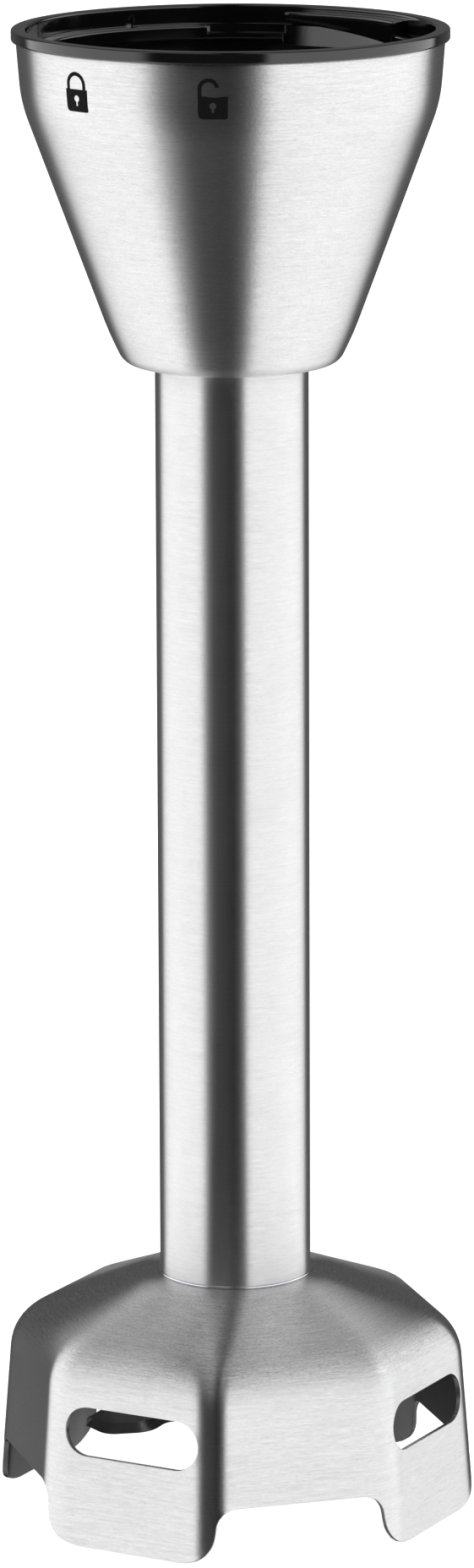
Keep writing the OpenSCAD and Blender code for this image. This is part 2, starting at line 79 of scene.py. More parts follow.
away = Vector((-math.sin(BEARING), math.cos(BEARING), 0))
rightward = Vector((math.cos(BEARING), math.sin(BEARING), 0))
sight = away * math.cos(PITCH) - Vector((0, 0, math.sin(PITCH)))
level_up = rightward.cross(sight)
up = level_up * math.cos(ROLL) + rightward * math.sin(ROLL)
right = sight.cross(up)

camera = bpy.data.objects.new("camera", bpy.data.cameras.new("camera"))
scene.collection.objects.link(camera)
turn = Matrix((right, up, -sight)).transposed().to_4x4()
stand = rightward * CAMERA_ASIDE - away * CAMERA_DISTANCE + Vector((0, 0, CAMERA_HEIGHT))
camera.matrix_world = Matrix.Translation(stand) @ turn
camera.data.lens = LENS
camera.data.sensor_width = 36
scene.camera = camera
print("camera at", [round(c, 3) for c in stand])

# %% [markdown]
# ## Writing node trees as sums
# Node trees are quick to draw by hand and slow to write. Here one small class makes the nodes
# of a tree, and another wraps a socket, so that `1 - mask * 0.5` adds the Math nodes itself.
# Every other kind of node comes from the one method `add`, which sets a node's settings first
# and then its sockets.

# %% Node tree helpers
class Wire:
    """An output socket that can stand in a sum."""

    def __init__(self, net, socket):
        self.net = net
        self.socket = socket

    def __add__(self, other):
        return self.net.math("ADD", self, other)

    def __sub__(self, other):
        return self.net.math("SUBTRACT", self, other)

    def __rsub__(self, other):
        return self.net.math("SUBTRACT", other, self)

    def __mul__(self, other):
        return self.net.math("MULTIPLY", self, other)

    def __truediv__(self, other):
        return self.net.math("DIVIDE", self, other)

    def other(self, name):
        """Another output of the same node."""
        return Wire(self.net, self.socket.node.outputs[name])


class Net:
    """Makes the nodes of one tree."""

    def __init__(self, tree):
        self.tree = tree
        tree.nodes.clear()

    def add(self, kind, sockets, **settings):
        node = self.tree.nodes.new(kind)
        for name, value in settings.items():
            setattr(node, name, value)
        for name, value in sockets.items():
            shown = [s for s in node.inputs if s.enabled]
            socket = shown[name] if isinstance(name, int) else next(s for s in shown if s.name == name)
            if isinstance(value, Wire):
                self.tree.links.new(value.socket, socket)
            else:
                socket.default_value = value
        made = [s for s in node.outputs if s.enabled]
        return Wire(self, made[0]) if made else node

    def math(self, operation, *values):
        return self.add("ShaderNodeMath", dict(enumerate(values)), operation=operation)

    def split(self, vector):
        x = self.add("ShaderNodeSeparateXYZ", {0: vector})
        return x, x.other("Y"), x.other("Z")

    def step(self, value, start, end):
        """Rises softly from 0 at start to 1 at end."""
        return self.add("ShaderNodeMapRange", {"Value": value, "From Min": start, "From Max": end},
                        interpolation_type="SMOOTHSTEP")

    def blend_colours(self, factor, a, b):
        return self.add("ShaderNodeMix", {"Factor": factor, "A": a, "B": b}, data_type="RGBA")


def new_material(name):
    made = bpy.data.materials.new(name)
    made.use_nodes = True
    return made, Net(made.node_tree)


print("node helpers ready")

# %% [markdown]
# ## The studio
# Steel has hardly any colour of its own: it looks like what it mirrors. Two tall softboxes
# stand left and right of the shaft, with a dark gap between them on the camera's side and
# another behind. The gap is what draws the dark band down the middle of the tube, and the dark
# back, lit by no more than a faint glow, is what draws the thin lines along its edges. A dimmer
# pair hangs overhead with a narrow gap, for the roof of the guard, and a pale light straight
# below reaches the blade inside the guard. All of them are painted on the sky, turned with the
# camera's bearing, and the camera itself sees a white wall. Each softbox has its two limits and
# then how soft each is: bearings are in degrees, and heights are from -1 below to 1 above.

# %% Light from the sky
SOFTBOX = 1.75
LEFT_BOX = (-133, -46, 4, 6)
RIGHT_BOX = (19, 133, 3, 4)
BOX_HEIGHTS = (-0.93, 0.64, 0.05, 0.12)
OVERHEAD = 0.64
OVERHEAD_FROM = (0.45, 0.8)
OVERHEAD_GAP = (0.02, 0.16)
OVERHEAD_FADE = (0.15, 0.7)
OVERHEAD_LOSS = 0.7
BACK = 0.12
BACK_FROM = (0.6, 0.85)
PALE_BELOW = 0.4
BELOW_UNTIL = (-0.97, -0.87)
FILL = 0.01

scene.view_settings.view_transform = "Standard"
world = bpy.data.worlds.new("studio")
world.use_nodes = True
scene.world = world


def between(net, value, low, high, soft_low, soft_high):
    """1 between low and high, with soft edges."""
    rise = net.step(value, low - soft_low, low + soft_low)
    return rise * (1 - net.step(value, high - soft_high, high + soft_high))


def light_the_sky(net):
    way = net.add("ShaderNodeTexCoord", {})
    level = net.add("ShaderNodeMapping", {"Vector": way, "Rotation": (0, 0, -BEARING)})
    across, behind, height = net.split(level)
    bearing = net.math("ARCTAN2", across, 0 - behind) * math.degrees(1)
    left_box = between(net, bearing, *LEFT_BOX)
    right_box = between(net, bearing, *RIGHT_BOX)
    tall = between(net, height, *BOX_HEIGHTS)
    aside = net.math("ABSOLUTE", across)
    top_pair = net.step(height, *OVERHEAD_FROM) * net.step(aside, *OVERHEAD_GAP)
    top_pair = top_pair * (1 - net.step(aside, *OVERHEAD_FADE) * OVERHEAD_LOSS)
    back_wall = net.step(behind, *BACK_FROM) * BACK
    glow = (left_box + right_box) * tall * SOFTBOX + top_pair * OVERHEAD + back_wall + FILL
    glow = glow + (1 - net.step(height, *BELOW_UNTIL)) * PALE_BELOW
    seen = net.add("ShaderNodeLightPath", {})
    wall = glow + seen * (1 - glow)
    sky = net.add("ShaderNodeBackground", {"Strength": wall})
    net.add("ShaderNodeOutputWorld", {"Surface": sky})


light_the_sky(Net(world.node_tree))
print("softboxes at", SOFTBOX, "overhead at", OVERHEAD)

# %% [markdown]
# The floor is a plain pale sheet. It glows a little, as a lit sweep of paper does, so that it
# meets the white wall without a line, and it darkens only under the feet. From below it is
# clear, because the shaft is looked at from underneath as well.

# %% Floor
FLOOR_REACH = 8.0
FLOOR_Z = -0.02 * MM
FLOOR_GLOW = 1.0

floor_mesh = bpy.data.meshes.new("floor")
quadrants = [(-1, -1), (1, -1), (1, 1), (-1, 1)]
floor_corners = [(x * FLOOR_REACH, y * FLOOR_REACH, FLOOR_Z) for x, y in quadrants]
floor_mesh.from_pydata(floor_corners, [], [(0, 1, 2, 3)])
floor = bpy.data.objects.new("floor", floor_mesh)
scene.collection.objects.link(floor)
floor.visible_glossy = False

paper, net = new_material("pale_paper")
speck = net.add("ShaderNodeTexNoise", {"Scale": 60.0, "Detail": 3.0})
shade = net.add("ShaderNodeMapRange", {"Value": speck, "To Min": 0.86, "To Max": 0.9})
sheet = net.add("ShaderNodeBsdfPrincipled", {"Base Color": (0.9, 0.9, 0.9, 1), "Roughness": shade,
                                             "Emission Color": (1, 1, 1, 1), "Emission Strength": FLOOR_GLOW})
below = net.add("ShaderNodeNewGeometry", {}).other("Backfacing")
clear = net.add("ShaderNodeBsdfTransparent", {})
one_sided = net.add("ShaderNodeMixShader", {0: below, 1: sheet, 2: clear})
net.add("ShaderNodeOutputMaterial", {"Surface": one_sided})
floor_mesh.materials.append(paper)
print("floor", 2 * FLOOR_REACH, "m across")

# %% [markdown]
# ## Brushed steel
# The cup, the tube and the guard are brushed round the axis. Thousands of fine scratches lie
# side by side, so light spreads widely across them and hardly at all along them: the mirrored
# softboxes smear up and down, and keep their upright edges. That is an anisotropic gloss. Its
# grain comes from a noise that is drawn out along the piece's own UV map, whose first number
# runs round the piece and whose second runs along its outline, both in metres.

# %% Brushed steel
FINE_SCRATCH = (2.2 * MM, 0.17 * MM, 1)
SHORT_SCRATCH = (0.7 * MM, 0.2 * MM, 1)
LONG_SCRATCH = (9 * MM, 0.45 * MM, 1)
STEEL_CLOUD = (14 * MM, 9 * MM, 1)
SCRATCH_DEPTH = 0.035 * MM
SCRATCH_CONTRAST = 0.7
ROOF_CONTRAST = 1.9
# Colour of the guard's inner and down-facing faces: dull pressed steel, darkened as painted shade
PRESSED_AND_SHADED_TONE = (0.3, 0.3, 0.305)
PRESSED_ROUGHNESS = 0.6


def finish_with(net, **sockets):
    """The Principled shader and the output that end a material."""
    named = {name.replace("_", " "): value for name, value in sockets.items()}
    shader = net.add("ShaderNodeBsdfPrincipled", named)
    net.add("ShaderNodeOutputMaterial", {"Surface": shader})


def noise(net, vector, scale, detail=2.0, roughness=0.5):
    sockets = {"Vector": vector, "Scale": scale, "Detail": detail, "Roughness": roughness}
    return net.add("ShaderNodeTexNoise", sockets)


def stretched(net, vector, size):
    """A pattern space whose unit cell has this size in metres."""
    return net.add("ShaderNodeMapping", {"Vector": vector, "Scale": tuple(1 / s for s in size)})


def spread(net, value, low, high):
    return net.add("ShaderNodeMapRange", {"Value": value, "From Min": 0.3, "From Max": 0.7,
                                          "To Min": low, "To Max": high})


def tinted(net, shade, tone):
    """A colour of this tone, lighter or darker by the shade."""
    return net.add("ShaderNodeCombineColor", {k: shade * tone[k] for k in range(3)})


def from_axis(net, x, y):
    return net.math("SQRT", x * x + y * y)


def bumped(net, height, depth, strength=1.0):
    return net.add("ShaderNodeBump", {"Strength": strength, "Distance": depth, "Height": height})


def facing_out(net):
    """1 where a surface faces away from the axis or up, and 0 where it faces in or down."""
    place = net.add("ShaderNodeTexCoord", {}).other("Object")
    x, y, _ = net.split(place)
    nx, ny, nz = net.split(place.other("Normal"))
    return net.step((x * nx + y * ny) / from_axis(net, x, y) + nz, -0.15, 0.25)


def brushed_steel(name, tone=0.74, strength=1.0, is_guard=False):
    """Steel brushed round the axis. The guard's grain is coarser on its roof. Its inner face is rougher, as
    dull pressed steel, and is painted darker as shade, as is every face of it that turns down."""
    made, net = new_material(name)
    contrast = SCRATCH_CONTRAST * strength
    flat = net.add("ShaderNodeUVMap", {}, uv_map="UVMap")
    fine = noise(net, stretched(net, flat, FINE_SCRATCH), 1.0, 3.0, 0.6)
    short = noise(net, stretched(net, flat, SHORT_SCRATCH), 1.0, 2.0, 0.6)
    long = noise(net, stretched(net, flat, LONG_SCRATCH), 1.0, 2.0)
    cloud = noise(net, stretched(net, flat, STEEL_CLOUD), 1.0, 2.0)
    grain = fine * 0.65 + long * 0.35
    if is_guard:
        lift = net.split(net.add("ShaderNodeTexCoord", {}).other("Normal"))[2]
        contrast = net.step(lift, 0.3, 0.75) * (ROOF_CONTRAST * strength) + contrast
    value = (grain * 0.6 + short * 0.4 - 0.5) * contrast + tone
    colour = net.add("ShaderNodeCombineColor", {0: value, 1: value, 2: value * 1.008})
    rough = spread(net, grain, 0.44, 0.34) + (cloud - 0.5) * 0.05
    if is_guard:
        # Painted shade: faces turned in towards the axis or down get a darker colour, as if in the guard's
        # own shade. They also get a rougher gloss, as dull pressed steel.
        outside = facing_out(net)
        colour = net.blend_colours(outside, tinted(net, value, PRESSED_AND_SHADED_TONE), colour)
        rough = PRESSED_ROUGHNESS - (PRESSED_ROUGHNESS - rough) * outside
    scratches = bumped(net, grain * 0.5 + short * 0.5, SCRATCH_DEPTH * strength, 0.8)
    finish_with(net, Base_Color=colour, Metallic=1.0, Roughness=rough, Anisotropic=0.97,
                Anisotropic_Rotation=0.25, Normal=scratches)
    return made


steel_finish = brushed_steel("brushed_steel_cup", strength=0.9)
tube_finish = brushed_steel("brushed_steel_tube", strength=0.45)
guard_finish = brushed_steel("brushed_steel_guard", tone=0.71, strength=0.7, is_guard=True)
print("finishes", steel_finish.name, tube_finish.name, guard_finish.name)

# %% [markdown]
# ## Finishes for the machined and moulded pieces
# The pieces inside the shaft keep the meshes of the frame, which have no UV map, so their
# finishes are drawn in the object's own space. A turned piece has fine rings: a noise that only
# depends on the distance from the axis and the height. A moulded piece has a fine sparkle from
# the mould and slow clouds where the melt flowed. One function makes each family.

# %% Turned and moulded finishes
def object_space(net):
    return net.add("ShaderNodeTexCoord", {}).other("Object")


def turned_metal(name, tone, rings, roughness, grey=0.06, dirt=0.0):
    """Steel or bronze from the lathe, with ring marks this far apart."""
    made, net = new_material(name)
    place = object_space(net)
    x, y, z = net.split(place)
    lathe = net.add("ShaderNodeCombineXYZ", {"X": from_axis(net, x, y), "Y": 0.0, "Z": z})
    marks = noise(net, stretched(net, lathe, (rings, 1, rings)), 1.0, 3.0, 0.65)
    cloud = noise(net, place, 1 / (4 * MM), 3.0)
    shade = spread(net, marks * 0.6 + cloud * 0.4, 1 - grey, 1 + grey) - spread(net, cloud, 0.0, dirt)
    finish_with(net, Base_Color=tinted(net, shade, tone), Metallic=1.0,
                Normal=bumped(net, marks, 0.006 * MM, 0.5),
                Roughness=spread(net, marks * 0.5 + cloud * 0.5, roughness + 0.06, roughness - 0.05))
    return made


def speckled_metal(name, tone, grain, roughness, depth, metallic=1.0, contrast=0.25):
    """A metal with crystals or pores of this size: zinc, phosphate or sintered powder."""
    made, net = new_material(name)
    place = object_space(net)
    cells = net.add("ShaderNodeTexVoronoi", {"Vector": place, "Scale": 1 / grain}, feature="F1")
    crystal = noise(net, cells.other("Position"), 3 / grain, 0.0)
    pores = noise(net, place, 2 / grain, 3.0, 0.6)
    shade = spread(net, crystal * 0.5 + pores * 0.5, 1 - contrast, 1 + contrast * 0.6)
    finish_with(net, Base_Color=tinted(net, shade, tone), Metallic=metallic,
                Normal=bumped(net, pores, depth, 0.7),
                Roughness=spread(net, crystal * 0.4 + pores * 0.6, roughness + 0.1, roughness - 0.07))
    return made


def moulded(name, tone, roughness, grain, depth, contrast=0.08, coat=0.0, bloom=0.0):
    """Plastic or rubber from a mould, with a surface grain of this size."""
    made, net = new_material(name)
    place = object_space(net)
    sparkle = noise(net, place, 1 / grain, 3.0, 0.6)
    flow = noise(net, stretched(net, place, (6 * MM, 6 * MM, 2.5 * MM)), 1.0, 3.0, 0.55)
    shade = spread(net, sparkle * 0.5 + flow * 0.5, 1 - contrast, 1 + contrast)
    dust = spread(net, flow, 0.0, bloom)
    colour = net.add("ShaderNodeCombineColor", {k: shade * tone[k] + dust for k in range(3)})
    finish_with(net, Base_Color=colour, Normal=bumped(net, sparkle, depth, 0.5), Coat_Weight=coat,
                Coat_Roughness=0.08,
                Roughness=spread(net, sparkle * 0.4 + flow * 0.6, roughness + 0.06, roughness - 0.05))
    return made


def black_ink(name):
    """Screen ink: almost black, with the weave of the screen in its gloss."""
    made, net = new_material(name)
    weave = noise(net, object_space(net), 1 / (0.12 * MM), 2.0)
    shade = spread(net, weave, 0.003, 0.009)
    colour = net.add("ShaderNodeCombineColor", {0: shade, 1: shade, 2: shade})
    finish_with(net, Base_Color=colour, Roughness=spread(net, weave, 0.55, 0.42), Specular_IOR_Level=0.04,
                Normal=bumped(net, weave, 0.003 * MM, 0.4))
    return made


# %% Finishes by name
finishes = {
    "brushed_steel": steel_finish,
    "plain_steel": turned_metal("plain_steel_turned", (0.60, 0.60, 0.61), 0.09 * MM, 0.28),
    "ground_steel": turned_metal("ground_steel_fine", (0.72, 0.72, 0.74), 0.04 * MM, 0.16, 0.03),
    "blade_steel": turned_metal("blade_steel_ground", (0.5, 0.5, 0.52), 0.16 * MM, 0.3, 0.1, 0.05),
    "spring_steel": speckled_metal("spring_steel_phosphated", (0.07, 0.07, 0.075), 0.12 * MM, 0.5,
                                   0.01 * MM, 0.7),
    "plated_steel": speckled_metal("plated_steel_zinc", (0.6, 0.62, 0.66), 0.5 * MM, 0.26, 0.003 * MM,
                                   contrast=0.1),
    "sintered_bronze": speckled_metal("sintered_bronze_porous", (0.56, 0.38, 0.19), 0.18 * MM, 0.45,
                                      0.03 * MM),
    "black_plastic": moulded("black_plastic_gloss", (0.005, 0.005, 0.0052), 0.1, 0.25 * MM, 0.001 * MM,
                             0.2, 0.6),
    "grey_plastic": moulded("grey_plastic_fibre", (0.09, 0.09, 0.095), 0.5, 0.12 * MM, 0.02 * MM, 0.25),
    "white_plastic": moulded("white_plastic_acetal", (0.78, 0.77, 0.72), 0.34, 0.3 * MM, 0.006 * MM, 0.03),
    "tan_plastic": moulded("tan_plastic_cage", (0.58, 0.46, 0.27), 0.42, 0.15 * MM, 0.01 * MM, 0.12),
    "black_rubber": moulded("black_rubber_matte", (0.02, 0.02, 0.02), 0.62, 0.2 * MM, 0.012 * MM, 0.2,
                            bloom=0.006)}
for part in frame["record"]["subparts"]:
    for place in nodes[part["node"]].material_slots:
        place.material = finishes[part["material_slot"]]
print(len(finishes), "finishes on", len(nodes), "nodes")

# %% [markdown]
# ## Outlines
# Most of the metal here is turned or spun on a lathe, so its shape is one outline carried
# round the axis. An outline is a few sharp corners with a radius at each, as on a drawing. The
# same function rounds the corners of every outline in this file.

# %% Rounded outlines
ARC_STEP = math.radians(7.5)
HOLD = 0.3 * MM


def rounded(line, radii, step=ARC_STEP):
    """The line with an arc of the given radius at each of its inner corners."""
    points = [Vector(line[0])]
    for before, at, after, radius in zip(line, line[1:], line[2:], radii[1:]):
        at = Vector(at)
        a = (Vector(before) - at).normalized()
        b = (Vector(after) - at).normalized()
        half = a.angle(b) / 2
        if radius <= 0 or half > math.radians(89.9):
            points.append(at)
            continue
        middle = at + (a + b).normalized() * radius / math.sin(half)
        first = at + a * radius / math.tan(half) - middle
        last = at + b * radius / math.tan(half) - middle
        swing = math.atan2(first.x * last.y - first.y * last.x, first.dot(last))
        count = max(2, math.ceil(abs(swing) / step))
        for k in range(count + 1):
            points.append(middle + Matrix.Rotation(swing * k / count, 2) @ first)
    return points + [Vector(line[-1])]


def shifted(line, by):
    """The line moved to its left by this much, corners kept sharp."""
    line = [Vector(p) for p in line]
    moved = []
    for i, p in enumerate(line):
        back = (line[max(i, 1)] - line[max(i, 1) - 1]).normalized()
        on = (line[min(i + 1, len(line) - 1)] - line[min(i + 1, len(line) - 1) - 1]).normalized()
        lefts = Vector((-back.y, back.x)) + Vector((-on.y, on.x))
        moved.append(p + lefts * by / (1 + back.dot(on)))
    return moved


def divided(line, most, hold=0.0):
    """The line with no stretch longer than most, and with a point close to both ends of each
    long stretch, so that smooth shading stays flat between its rounded corners."""
    points = []
    for a, b in zip(line, line[1:]):
        length = (b - a).length
        ends = [0.0, length]
        if hold and length > 3 * hold:
            ends = [0.0, hold, length - hold, length]
        for low, high in zip(ends, ends[1:]):
            count = max(1, math.ceil((high - low) / most))
            points += [a + (b - a) * (low + (high - low) * k / count) / length for k in range(count)]
    return points + [line[-1]]


def arc(x, y, radius, start, end, count=24):
    """Points along an arc between two angles in degrees."""
    angles = [math.radians(start + (end - start) * k / count) for k in range(count + 1)]
    return [Vector((x + radius * math.cos(a), y + radius * math.sin(a))) for a in angles]


print("a right angle rounded by 1 mm has", len(rounded([(0, 0), (1, 0), (1, 1)], [0, 1, 0])), "points")

# %% [markdown]
# A closed outline is turned into a mesh by placing a ring of it at every few degrees. The UV
# map is laid out in metres as the mesh is made, so that any finish knows which way is round
# and which way is along.

# %% Turned pieces
TURNS = 256


def new_mesh(name, bm):
    mesh = bpy.data.meshes.new(name)
    bm.to_mesh(mesh)
    bm.free()
    mesh.shade_smooth()
    return mesh


def turned(name, outline, turns=TURNS):
    """A closed mesh of revolution. The outline is a closed loop of (radius, height) points that
    runs with the metal on its left."""
    bm = bmesh.new()
    uv = bm.loops.layers.uv.new("UVMap")
    lengths = [0.0]
    for a, b in zip(outline, outline[1:] + outline[:1]):
        lengths.append(lengths[-1] + (b - a).length)
    wide = max(p.x for p in outline)
    rings = []
    for i in range(turns):
        angle = math.tau * i / turns
        rings.append([bm.verts.new((p.x * math.cos(angle), p.x * math.sin(angle), p.y)) for p in outline])
    for i in range(turns):
        here, there = rings[i], rings[(i + 1) % turns]
        for j in range(len(outline)):
            k = (j + 1) % len(outline)
            face = bm.faces.new((here[j], there[j], there[k], here[k]))
            around = [i, i + 1, i + 1, i]
            along = [j, j, j + 1, j + 1]
            for loop, x, y in zip(face.loops, around, along):
                loop[uv].uv = (x * math.tau / turns * wide, lengths[y])
    bmesh.ops.recalc_face_normals(bm, faces=bm.faces)
    return new_mesh(name, bm)


def carried(bm, rows):
    """A closed solid through rows of vertices, each of which is one section."""
    for here, there in zip(rows, rows[1:]):
        for j in range(len(here)):
            k = (j + 1) % len(here)
            bm.faces.new((here[j], there[j], there[k], here[k]))
    bm.faces.new(rows[0])
    bm.faces.new(rows[-1][::-1])


def stands_for(name, mesh, body, slot, material, *replaced):
    """Puts a finished mesh in the scene as a piece that rides on a body."""
    made = bpy.data.objects.new(name, mesh)
    scene.collection.objects.link(made)
    mesh.materials.clear()
    mesh.materials.append(material)
    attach(made, body)
    if replaced:
        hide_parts(*replaced)
    print(name, len(mesh.polygons), "faces")


def on_the_bench(mesh):
    """A passing object that holds this mesh while modifiers work on it."""
    workpiece = bpy.data.objects.new("workpiece", mesh)
    scene.collection.objects.link(workpiece)
    return workpiece


def off_the_bench(workpiece):
    """The plain mesh that the workpiece has become."""
    bpy.context.view_layer.update()
    depsgraph = bpy.context.evaluated_depsgraph_get()
    result = bpy.data.meshes.new_from_object(workpiece.evaluated_get(depsgraph))
    bpy.data.objects.remove(workpiece)
    return result


def finished(mesh, *modifiers):
    """The plain mesh that these modifiers make of this mesh."""
    workpiece = on_the_bench(mesh)
    for kind, settings in modifiers:
        modifier = workpiece.modifiers.new(kind, kind)
        for name, value in settings.items():
            setattr(modifier, name, value)
    return off_the_bench(workpiece)


# %% [markdown]
# ## The tube
# The tube is drawn stainless steel with a thin wall. Its lower edge is chamfered and rounded,
# which catches the light as a bright ring above the guard. It could be left as the frame has it, but
# a turned mesh gives its brushing a UV map and its edges a fine radius.

# %% Tube
TUBE_WALL = 0.8 * MM
TUBE_CHAMFER = 0.4 * MM
FOOT_EDGE = 0.45 * MM
EDGE = 0.08 * MM

tube_low, tube_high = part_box("shaft_tube")
tube_r = tube_high.y
seat_z = tube_low.z
tube_line = [(tube_r - TUBE_WALL, (seat_z + tube_high.z) / 2), (tube_r - TUBE_WALL, seat_z),
             (tube_r - TUBE_CHAMFER, seat_z), (tube_r, seat_z + TUBE_CHAMFER), (tube_r, tube_high.z),
             (tube_r - TUBE_WALL, tube_high.z), (tube_r - TUBE_WALL, (seat_z + tube_high.z) / 2)]
tube_corners = rounded(tube_line, [0, EDGE, EDGE, FOOT_EDGE, EDGE, EDGE, 0])
tube_outline = divided(tube_corners, most=6 * MM, hold=HOLD)[:-1]
stands_for("tube", turned("tube", tube_outline), "housing", "brushed_steel", tube_finish, "shaft_tube")

# %% [markdown]
# A fine weld bead closes the gap between the tube and the guard's roof. It is a polished half
# round, so some part of it always faces a softbox, and it shows as a thin bright ring.

# %% Weld bead
BEAD_R = 0.3 * MM
bead_line = arc(tube_r, seat_z + BEAD_R, BEAD_R, 0, 360, 16)[:-1]
stands_for("tube_bead", turned("tube_bead", bead_line), "housing", "plain_steel", finishes["ground_steel"])

# %% [markdown]
# ## The cup
# The cup is spun from thin sheet: a rounded foot grips the tube, a long cone opens upwards, and
# a gentle bend leads into the nearly upright wall below the rim. Its outline is the same one
# twice, once outside and once moved in by the thickness of the sheet.

# %% Cup
CUP_SHEET = 0.6 * MM
BEND_DROP = 9.8 * MM
BEND_IN = 0.77 * MM
BEND_R = 23 * MM
FOOT_OUT = 4.9 * MM
FOOT_H = 5.15 * MM
FOOT_FLARE = 2.5 * MM
FOOT_R = 3.2 * MM
KNEE_R = 45 * MM
CUP_ARC_STEP = math.radians(3)

cup_low, cup_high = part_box("cup_shell")
cup_r = cup_high.y
foot = (tube_r + FOOT_OUT, cup_low.z)
knee = (foot[0] + FOOT_FLARE, cup_low.z + FOOT_H)
bend = (cup_r - BEND_IN, cup_high.z - BEND_DROP)
cup_line = [(tube_r, cup_low.z), foot, knee, bend, (cup_r, cup_high.z)]
cup_inside = shifted(cup_line, CUP_SHEET)
cup_inside[-1].y = cup_high.z
cup_radii = [0, FOOT_R, KNEE_R, BEND_R, 0]
inner_radii = [max(0, r - CUP_SHEET) for r in cup_radii]
outer = rounded(cup_line, cup_radii, CUP_ARC_STEP)
inner = rounded(cup_inside, inner_radii, CUP_ARC_STEP)
cup_outline = divided(outer + inner[::-1] + outer[:1], most=3 * MM, hold=HOLD)[:-1]
stands_for("cup", turned("cup", cup_outline), "housing", "brushed_steel", steel_finish, "cup_shell")

# %% [markdown]
# ## The guard
# The guard is pressed from one blank of sheet steel: eight upright faces, a rounded shoulder,
# and a low roof that turns from an octagon into a circle where it meets the tube. Four faces
# end in legs with a slot in each, and four are cut short as windows. The blank is laid out
# flat here, as the press shop has it: x runs round the guard and y up along its outline. Cutting
# the slots and windows in the flat keeps their edges clean. A Geometry Nodes tree then wraps
# the flat blank round the octagon, which is a rule that it can follow point by point.

# %% Guard sizes
SHEET = 0.9 * MM
LEAN = 2.3 * MM
DROP = 8 * MM
SHOULDER_R = 9 * MM
CROWN_OUT = 3.5 * MM
CROWN_R = 6 * MM
NECK_OUT = 0.6 * MM
CORNER_R = 8 * MM
NECK_POWER = 2.5
NECK_R = 0.5 * MM
SPIGOT_GAP = 0.05 * MM
FACES = 8
PART_TURN = math.pi / FACES

guard_low, guard_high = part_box("bell_guard")
guard_a = guard_high.x
shoulder_a = guard_a - LEAN
neck_a = tube_r + NECK_OUT
spigot_r = tube_r - TUBE_WALL - SPIGOT_GAP
guard_line = [(guard_a, 0), (shoulder_a, seat_z - DROP), (tube_r + CROWN_OUT, seat_z), (spigot_r, seat_z),
              (spigot_r, guard_high.z)]
guard_profile = rounded(guard_line, [0, SHOULDER_R, CROWN_R, NECK_R, 0], math.radians(4))
profile_length = sum((b - a).length for a, b in zip(guard_profile, guard_profile[1:]))
lean_angle = math.atan2(LEAN, seat_z - DROP)
face_width = 2 * ((guard_a - LEAN / 2 - CORNER_R) * math.tan(PART_TURN) + CORNER_R * PART_TURN)
print("outline", round(profile_length / MM, 1), "mm, face", round(face_width / MM, 1), "mm")

# %% [markdown]
# A window or a slot is drawn on its face as seen square on: t across and z up. Where it reaches
# past the flat of the face it follows the rounded corner and then the next face, which the
# punch meets at 45 degrees.

# %% Guard blank outline
GRID = 1.0 * MM
CUT_STEP = 0.7 * GRID
WINDOW_H = 9.4 * MM
WINDOW_R = 3.5 * MM
LEG_R = 6 * MM
WINDOW_LEAN = 1.5 * MM
LEG_INSET = 0.2 * MM
SLOT_H = 8.1 * MM
SLOT_Z = 19.35 * MM
SLOT_MARGIN = 3.25 * MM

face_half = guard_a * math.tan(PART_TURN)
columns = round(face_width / GRID)
quarter = math.pi / 4


def half_flat(z):
    return (guard_a - z * math.tan(lean_angle) - CORNER_R) * math.tan(PART_TURN)


def on_blank(face, t, z):
    """The blank's (x, y) for a point t across from the middle of a face, at height z."""
    flat = half_flat(z)
    over = abs(t) - flat
    length = abs(t)
    if over > CORNER_R * math.sin(quarter):
        length = flat + CORNER_R * quarter + (over - CORNER_R * math.sin(quarter)) / math.cos(quarter)
    elif over > 0:
        length = flat + CORNER_R * math.asin(over / CORNER_R)
    share = length / (2 * (flat + CORNER_R * PART_TURN))
    return Vector(((face + math.copysign(share, t)) * face_width, z / math.cos(lean_angle)))


side = face_half - LEG_INSET
window_top = side - WINDOW_LEAN
half_window = rounded([(0, WINDOW_H), (window_top, WINDOW_H), (side, 0), (side + 2 * LEG_R, 0)],
                      [0, WINDOW_R, LEG_R, 0])[:-1]
half_window = divided(half_window, CUT_STEP)
cut_edge = []
for window in range(0, FACES, 2):
    cut_edge += [on_blank(window, p.x, p.y) for p in half_window]
    cut_edge += [on_blank(window + 2, -p.x, p.y) for p in reversed(half_window)][:-1]
cut_edge.append(on_blank(FACES, 0, WINDOW_H))
cut_edge = divided(cut_edge, GRID)

slot_half = face_half - SLOT_MARGIN - SLOT_H / 2
slot_right = arc(slot_half, 0, SLOT_H / 2, -90, 90)
slot_loop = slot_right + [-p for p in slot_right]
slot_loop = divided(slot_loop + slot_loop[:1], CUT_STEP)[:-1]
slots = [[on_blank(leg, p.x, p.y + SLOT_Z) for p in slot_loop] for leg in range(1, FACES, 2)]
print("edge points", len(cut_edge), "slot points", len(slot_loop), "columns a face", columns)

# %% [markdown]
# The flat blank is filled with an even grid of points, and a constrained Delaunay mesh joins
# them to the cut edges. Pairs of triangles are then merged back into squares, which is what
# the wrapped surface needs to shade evenly.

# %% Filling a flat outline
INSIDE_ONLY = 1
SAME_POINT = 1e-7


def inside(point, loop):
    """True if the point lies within the closed loop."""
    within = False
    for a, b in zip(loop, loop[1:] + loop[:1]):
        if (a.y > point.y) != (b.y > point.y):
            if point.x < a.x + (point.y - a.y) / (b.y - a.y) * (b.x - a.x):
                within = not within
    return within


